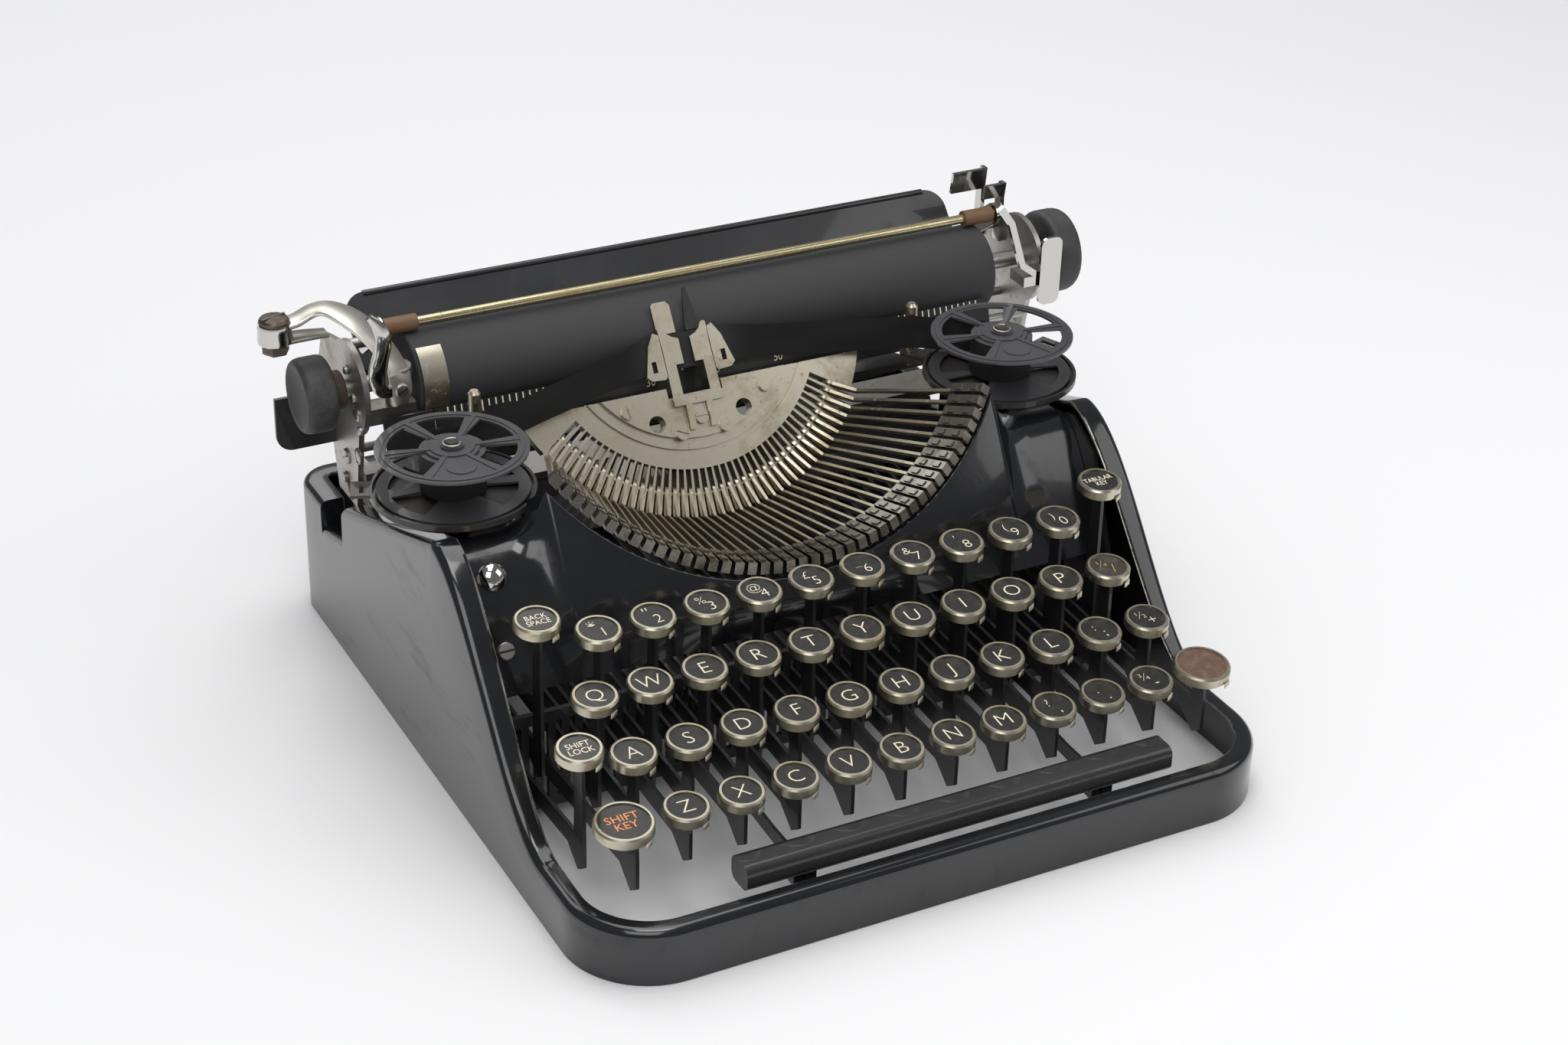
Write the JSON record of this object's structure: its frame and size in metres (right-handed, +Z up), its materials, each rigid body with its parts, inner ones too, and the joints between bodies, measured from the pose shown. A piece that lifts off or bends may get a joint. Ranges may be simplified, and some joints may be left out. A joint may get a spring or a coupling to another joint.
{
  "type": "portable_typewriter",
  "caption": "Portable manual typewriter in black enamel with round glass-topped keys, open ribbon spools, slanted type basket and a sliding carriage.",
  "frame": {"origin": "middle of the whole object's box, on the table", "axes": "+X to the typist's right, +Y to the back, +Z up"},
  "size_m": [0.3194, 0.269, 0.1386],
  "materials": {
    "enamel": "gloss",
    "frame_black": "satin",
    "nickel": "satin",
    "steel": "satin",
    "chrome": "polished",
    "brass": "aged",
    "platen_rubber": "matte",
    "spool_steel": "satin",
    "ribbon_cloth": "matte",
    "bar_black": "gloss"
  },
  "bodies": {
    "frame": {"casing": "enamel", "front_panel": "enamel", "chassis": "frame_black", "type_basket": "nickel", "ribbon": "ribbon_cloth"},
    "typebar": {"typebar": "nickel"},
    "left_spool": {"left_spool": "spool_steel"},
    "right_spool": {"right_spool": "spool_steel"},
    "ribbon_vibrator": {"ribbon_vibrator": "nickel"},
    "carriage_bed": {"carriage_bed": "steel"},
    "platen_frame": {"platen_frame": "steel"},
    "platen": {"platen": "platen_rubber"},
    "paper_bail": {"paper_bail": "brass"},
    "return_lever": {"return_lever": "chrome"},
    "space_bar": {"space_bar": "bar_black"},
    "shift_keys": {"shift_keys": "frame_black"},
    "backspace_key": {"backspace_key": "frame_black"},
    "tab_key": {"tab_key": "frame_black"},
    "key_1": {"key_1": "frame_black"},
    "key_2": {"key_2": "frame_black"},
    "key_3": {"key_3": "frame_black"},
    "key_4": {"key_4": "frame_black"},
    "key_5": {"key_5": "frame_black"},
    "key_6": {"key_6": "frame_black"},
    "key_7": {"key_7": "frame_black"},
    "key_8": {"key_8": "frame_black"},
    "key_9": {"key_9": "frame_black"},
    "key_0": {"key_0": "frame_black"},
    "key_q": {"key_q": "frame_black"},
    "key_w": {"key_w": "frame_black"},
    "key_e": {"key_e": "frame_black"},
    "key_r": {"key_r": "frame_black"},
    "key_t": {"key_t": "frame_black"},
    "key_y": {"key_y": "frame_black"},
    "key_u": {"key_u": "frame_black"},
    "key_i": {"key_i": "frame_black"},
    "key_o": {"key_o": "frame_black"},
    "key_p": {"key_p": "frame_black"},
    "key_cent": {"key_cent": "frame_black"},
    "key_a": {"key_a": "frame_black"},
    "key_s": {"key_s": "frame_black"},
    "key_d": {"key_d": "frame_black"},
    "key_f": {"key_f": "frame_black"},
    "key_g": {"key_g": "frame_black"},
    "key_h": {"key_h": "frame_black"},
    "key_j": {"key_j": "frame_black"},
    "key_k": {"key_k": "frame_black"},
    "key_l": {"key_l": "frame_black"},
    "key_colon": {"key_colon": "frame_black"},
    "key_half": {"key_half": "frame_black"},
    "key_z": {"key_z": "frame_black"},
    "key_x": {"key_x": "frame_black"},
    "key_c": {"key_c": "frame_black"},
    "key_v": {"key_v": "frame_black"},
    "key_b": {"key_b": "frame_black"},
    "key_n": {"key_n": "frame_black"},
    "key_m": {"key_m": "frame_black"},
    "key_comma": {"key_comma": "frame_black"},
    "key_stop": {"key_stop": "frame_black"},
    "key_slash": {"key_slash": "frame_black"}
  },
  "joints": [
    {"name": "carriage_slide", "type": "slide", "parent": "frame", "child": "carriage_bed", "axis": [1, 0, 0], "range_m": [-0.122, 0.076]},
    {"name": "platen_lift", "type": "slide", "parent": "carriage_bed", "child": "platen_frame", "axis": [0, 0.5592, 0.829], "range_m": [0, 0.006]},
    {"name": "platen_turn", "type": "hinge", "parent": "platen_frame", "child": "platen", "pos_m": [0.00625, 0.0895, 0.1035], "axis": [1, 0, 0], "continuous": true},
    {"name": "bail_lift", "type": "hinge", "parent": "platen_frame", "child": "paper_bail", "pos_m": [0.00625, 0.1085, 0.11], "axis": [-1, 0, 0], "range_deg": [0, 50]},
    {"name": "return_swing", "type": "hinge", "parent": "platen_frame", "child": "return_lever", "pos_m": [-0.11575, 0.0775, 0.113], "axis": [0, 0, 1], "range_deg": [0, 40]},
    {"name": "typebar_swing", "type": "hinge", "parent": "frame", "child": "typebar", "pos_m": [-0.00921, 0.0421, 0.05951], "axis": [-0.9997, -0.0137, -0.0203], "range_deg": [0, 114]},
    {"name": "ribbon_lift", "type": "slide", "parent": "frame", "child": "ribbon_vibrator", "axis": [0, 0.5592, 0.829], "range_m": [0, 0.009], "deforming": ["ribbon"]},
    {"name": "left_spool_turn", "type": "hinge", "parent": "frame", "child": "left_spool", "pos_m": [-0.11575, 0.0265, 0.1], "axis": [0, 0, 1], "continuous": true},
    {"name": "right_spool_turn", "type": "hinge", "parent": "frame", "child": "right_spool", "pos_m": [0.09425, 0.0265, 0.1], "axis": [0, 0, 1], "continuous": true},
    {"name": "space_press", "type": "hinge", "parent": "frame", "child": "space_bar", "pos_m": [-0.00475, 0.0975, 0.033], "axis": [1, 0, 0], "range_deg": [0, 3], "stiffness_Nm_per_rad": 0.4, "springref_deg": -28.65},
    {"name": "shift_press", "type": "hinge", "parent": "frame", "child": "shift_keys", "pos_m": [-0.01075, 0.0615, 0.014], "axis": [1, 0, 0], "range_deg": [0, 3.4]},
    {"name": "back_press", "type": "hinge", "parent": "frame", "child": "backspace_key", "pos_m": [-0.11553, 0.0975, 0.033], "axis": [1, 0, 0], "range_deg": [0, 3.4], "stiffness_Nm_per_rad": 0.3, "springref_deg": -17.19},
    {"name": "tab_press", "type": "hinge", "parent": "frame", "child": "tab_key", "pos_m": [0.09402, 0.0975, 0.033], "axis": [1, 0, 0], "range_deg": [0, 3.4], "stiffness_Nm_per_rad": 0.3, "springref_deg": -17.19},
    {"name": "key_1_press", "type": "hinge", "parent": "frame", "child": "key_1", "pos_m": [-0.09648, 0.0975, 0.033], "axis": [1, 0, 0], "range_deg": [0, 3.6], "stiffness_Nm_per_rad": 0.3, "springref_deg": -17.19},
    {"name": "key_2_press", "type": "hinge", "parent": "frame", "child": "key_2", "pos_m": [-0.07742, 0.0975, 0.033], "axis": [1, 0, 0], "range_deg": [0, 3.6], "stiffness_Nm_per_rad": 0.3, "springref_deg": -17.19},
    {"name": "key_3_press", "type": "hinge", "parent": "frame", "child": "key_3", "pos_m": [-0.05838, 0.0975, 0.033], "axis": [1, 0, 0], "range_deg": [0, 3.6], "stiffness_Nm_per_rad": 0.3, "springref_deg": -17.19},
    {"name": "key_4_press", "type": "hinge", "parent": "frame", "child": "key_4", "pos_m": [-0.03932, 0.0975, 0.033], "axis": [1, 0, 0], "range_deg": [0, 3.6], "stiffness_Nm_per_rad": 0.3, "springref_deg": -17.19},
    {"name": "key_5_press", "type": "hinge", "parent": "frame", "child": "key_5", "pos_m": [-0.02028, 0.0975, 0.033], "axis": [1, 0, 0], "range_deg": [0, 3.6], "stiffness_Nm_per_rad": 0.3, "springref_deg": -17.19},
    {"name": "key_6_press", "type": "hinge", "parent": "frame", "child": "key_6", "pos_m": [-0.00122, 0.0975, 0.033], "axis": [1, 0, 0], "range_deg": [0, 3.6], "stiffness_Nm_per_rad": 0.3, "springref_deg": -17.19},
    {"name": "key_7_press", "type": "hinge", "parent": "frame", "child": "key_7", "pos_m": [0.01783, 0.0975, 0.033], "axis": [1, 0, 0], "range_deg": [0, 3.6], "stiffness_Nm_per_rad": 0.3, "springref_deg": -17.19},
    {"name": "key_8_press", "type": "hinge", "parent": "frame", "child": "key_8", "pos_m": [0.03687, 0.0975, 0.033], "axis": [1, 0, 0], "range_deg": [0, 3.6], "stiffness_Nm_per_rad": 0.3, "springref_deg": -17.19},
    {"name": "key_9_press", "type": "hinge", "parent": "frame", "child": "key_9", "pos_m": [0.05593, 0.0975, 0.033], "axis": [1, 0, 0], "range_deg": [0, 3.6], "stiffness_Nm_per_rad": 0.3, "springref_deg": -17.19},
    {"name": "key_0_press", "type": "hinge", "parent": "frame", "child": "key_0", "pos_m": [0.07497, 0.0975, 0.033], "axis": [1, 0, 0], "range_deg": [0, 3.6], "stiffness_Nm_per_rad": 0.3, "springref_deg": -17.19},
    {"name": "key_q_press", "type": "hinge", "parent": "frame", "child": "key_q", "pos_m": [-0.106, 0.0975, 0.033], "axis": [1, 0, 0], "range_deg": [0, 3.6], "stiffness_Nm_per_rad": 0.3, "springref_deg": -17.19},
    {"name": "key_w_press", "type": "hinge", "parent": "frame", "child": "key_w", "pos_m": [-0.08695, 0.0975, 0.033], "axis": [1, 0, 0], "range_deg": [0, 3.6], "stiffness_Nm_per_rad": 0.3, "springref_deg": -17.19},
    {"name": "key_e_press", "type": "hinge", "parent": "frame", "child": "key_e", "pos_m": [-0.0679, 0.0975, 0.033], "axis": [1, 0, 0], "range_deg": [0, 3.6], "stiffness_Nm_per_rad": 0.3, "springref_deg": -17.19},
    {"name": "key_r_press", "type": "hinge", "parent": "frame", "child": "key_r", "pos_m": [-0.04885, 0.0975, 0.033], "axis": [1, 0, 0], "range_deg": [0, 3.6], "stiffness_Nm_per_rad": 0.3, "springref_deg": -17.19},
    {"name": "key_t_press", "type": "hinge", "parent": "frame", "child": "key_t", "pos_m": [-0.0298, 0.0975, 0.033], "axis": [1, 0, 0], "range_deg": [0, 3.6], "stiffness_Nm_per_rad": 0.3, "springref_deg": -17.19},
    {"name": "key_y_press", "type": "hinge", "parent": "frame", "child": "key_y", "pos_m": [-0.01075, 0.0975, 0.033], "axis": [1, 0, 0], "range_deg": [0, 3.6], "stiffness_Nm_per_rad": 0.3, "springref_deg": -17.19},
    {"name": "key_u_press", "type": "hinge", "parent": "frame", "child": "key_u", "pos_m": [0.0083, 0.0975, 0.033], "axis": [1, 0, 0], "range_deg": [0, 3.6], "stiffness_Nm_per_rad": 0.3, "springref_deg": -17.19},
    {"name": "key_i_press", "type": "hinge", "parent": "frame", "child": "key_i", "pos_m": [0.02735, 0.0975, 0.033], "axis": [1, 0, 0], "range_deg": [0, 3.6], "stiffness_Nm_per_rad": 0.3, "springref_deg": -17.19},
    {"name": "key_o_press", "type": "hinge", "parent": "frame", "child": "key_o", "pos_m": [0.0464, 0.0975, 0.033], "axis": [1, 0, 0], "range_deg": [0, 3.6], "stiffness_Nm_per_rad": 0.3, "springref_deg": -17.19},
    {"name": "key_p_press", "type": "hinge", "parent": "frame", "child": "key_p", "pos_m": [0.06545, 0.0975, 0.033], "axis": [1, 0, 0], "range_deg": [0, 3.6], "stiffness_Nm_per_rad": 0.3, "springref_deg": -17.19},
    {"name": "key_cent_press", "type": "hinge", "parent": "frame", "child": "key_cent", "pos_m": [0.0845, 0.0975, 0.033], "axis": [1, 0, 0], "range_deg": [0, 3.6], "stiffness_Nm_per_rad": 0.3, "springref_deg": -17.19},
    {"name": "key_a_press", "type": "hinge", "parent": "frame", "child": "key_a", "pos_m": [-0.10124, 0.0975, 0.033], "axis": [1, 0, 0], "range_deg": [0, 3.6], "stiffness_Nm_per_rad": 0.3, "springref_deg": -17.19},
    {"name": "key_s_press", "type": "hinge", "parent": "frame", "child": "key_s", "pos_m": [-0.08219, 0.0975, 0.033], "axis": [1, 0, 0], "range_deg": [0, 3.6], "stiffness_Nm_per_rad": 0.3, "springref_deg": -17.19},
    {"name": "key_d_press", "type": "hinge", "parent": "frame", "child": "key_d", "pos_m": [-0.06314, 0.0975, 0.033], "axis": [1, 0, 0], "range_deg": [0, 3.6], "stiffness_Nm_per_rad": 0.3, "springref_deg": -17.19},
    {"name": "key_f_press", "type": "hinge", "parent": "frame", "child": "key_f", "pos_m": [-0.04409, 0.0975, 0.033], "axis": [1, 0, 0], "range_deg": [0, 3.6], "stiffness_Nm_per_rad": 0.3, "springref_deg": -17.19},
    {"name": "key_g_press", "type": "hinge", "parent": "frame", "child": "key_g", "pos_m": [-0.02504, 0.0975, 0.033], "axis": [1, 0, 0], "range_deg": [0, 3.6], "stiffness_Nm_per_rad": 0.3, "springref_deg": -17.19},
    {"name": "key_h_press", "type": "hinge", "parent": "frame", "child": "key_h", "pos_m": [-0.00599, 0.0975, 0.033], "axis": [1, 0, 0], "range_deg": [0, 3.6], "stiffness_Nm_per_rad": 0.3, "springref_deg": -17.19},
    {"name": "key_j_press", "type": "hinge", "parent": "frame", "child": "key_j", "pos_m": [0.01306, 0.0975, 0.033], "axis": [1, 0, 0], "range_deg": [0, 3.6], "stiffness_Nm_per_rad": 0.3, "springref_deg": -17.19},
    {"name": "key_k_press", "type": "hinge", "parent": "frame", "child": "key_k", "pos_m": [0.03211, 0.0975, 0.033], "axis": [1, 0, 0], "range_deg": [0, 3.6], "stiffness_Nm_per_rad": 0.3, "springref_deg": -17.19},
    {"name": "key_l_press", "type": "hinge", "parent": "frame", "child": "key_l", "pos_m": [0.05116, 0.0975, 0.033], "axis": [1, 0, 0], "range_deg": [0, 3.6], "stiffness_Nm_per_rad": 0.3, "springref_deg": -17.19},
    {"name": "key_colon_press", "type": "hinge", "parent": "frame", "child": "key_colon", "pos_m": [0.07021, 0.0975, 0.033], "axis": [1, 0, 0], "range_deg": [0, 3.6], "stiffness_Nm_per_rad": 0.3, "springref_deg": -17.19},
    {"name": "key_half_press", "type": "hinge", "parent": "frame", "child": "key_half", "pos_m": [0.08926, 0.0975, 0.033], "axis": [1, 0, 0], "range_deg": [0, 3.6], "stiffness_Nm_per_rad": 0.3, "springref_deg": -17.19},
    {"name": "key_z_press", "type": "hinge", "parent": "frame", "child": "key_z", "pos_m": [-0.09171, 0.0975, 0.033], "axis": [1, 0, 0], "range_deg": [0, 3.6], "stiffness_Nm_per_rad": 0.3, "springref_deg": -17.19},
    {"name": "key_x_press", "type": "hinge", "parent": "frame", "child": "key_x", "pos_m": [-0.07266, 0.0975, 0.033], "axis": [1, 0, 0], "range_deg": [0, 3.6], "stiffness_Nm_per_rad": 0.3, "springref_deg": -17.19},
    {"name": "key_c_press", "type": "hinge", "parent": "frame", "child": "key_c", "pos_m": [-0.05361, 0.0975, 0.033], "axis": [1, 0, 0], "range_deg": [0, 3.6], "stiffness_Nm_per_rad": 0.3, "springref_deg": -17.19},
    {"name": "key_v_press", "type": "hinge", "parent": "frame", "child": "key_v", "pos_m": [-0.03456, 0.0975, 0.033], "axis": [1, 0, 0], "range_deg": [0, 3.6], "stiffness_Nm_per_rad": 0.3, "springref_deg": -17.19},
    {"name": "key_b_press", "type": "hinge", "parent": "frame", "child": "key_b", "pos_m": [-0.01551, 0.0975, 0.033], "axis": [1, 0, 0], "range_deg": [0, 3.6], "stiffness_Nm_per_rad": 0.3, "springref_deg": -17.19},
    {"name": "key_n_press", "type": "hinge", "parent": "frame", "child": "key_n", "pos_m": [0.00354, 0.0975, 0.033], "axis": [1, 0, 0], "range_deg": [0, 3.6], "stiffness_Nm_per_rad": 0.3, "springref_deg": -17.19},
    {"name": "key_m_press", "type": "hinge", "parent": "frame", "child": "key_m", "pos_m": [0.02259, 0.0975, 0.033], "axis": [1, 0, 0], "range_deg": [0, 3.6], "stiffness_Nm_per_rad": 0.3, "springref_deg": -17.19},
    {"name": "key_comma_press", "type": "hinge", "parent": "frame", "child": "key_comma", "pos_m": [0.04164, 0.0975, 0.033], "axis": [1, 0, 0], "range_deg": [0, 3.6], "stiffness_Nm_per_rad": 0.3, "springref_deg": -17.19},
    {"name": "key_stop_press", "type": "hinge", "parent": "frame", "child": "key_stop", "pos_m": [0.06069, 0.0975, 0.033], "axis": [1, 0, 0], "range_deg": [0, 3.6], "stiffness_Nm_per_rad": 0.3, "springref_deg": -17.19},
    {"name": "key_slash_press", "type": "hinge", "parent": "frame", "child": "key_slash", "pos_m": [0.07974, 0.0975, 0.033], "axis": [1, 0, 0], "range_deg": [0, 3.6], "stiffness_Nm_per_rad": 0.3, "springref_deg": -17.19}
  ],
  "couplings": [
    {"joint": "shift_press", "follows": "platen_lift", "rad_per_m": 9.8803},
    {"joint": "key_h_press", "follows": "ribbon_lift", "rad_per_m": 6.9743},
    {"joint": "typebar_swing", "follows": "ribbon_lift", "rad_per_m": 220.85},
    {"joint": "right_spool_turn", "follows": "left_spool_turn", "ratio": 1}
  ]
}
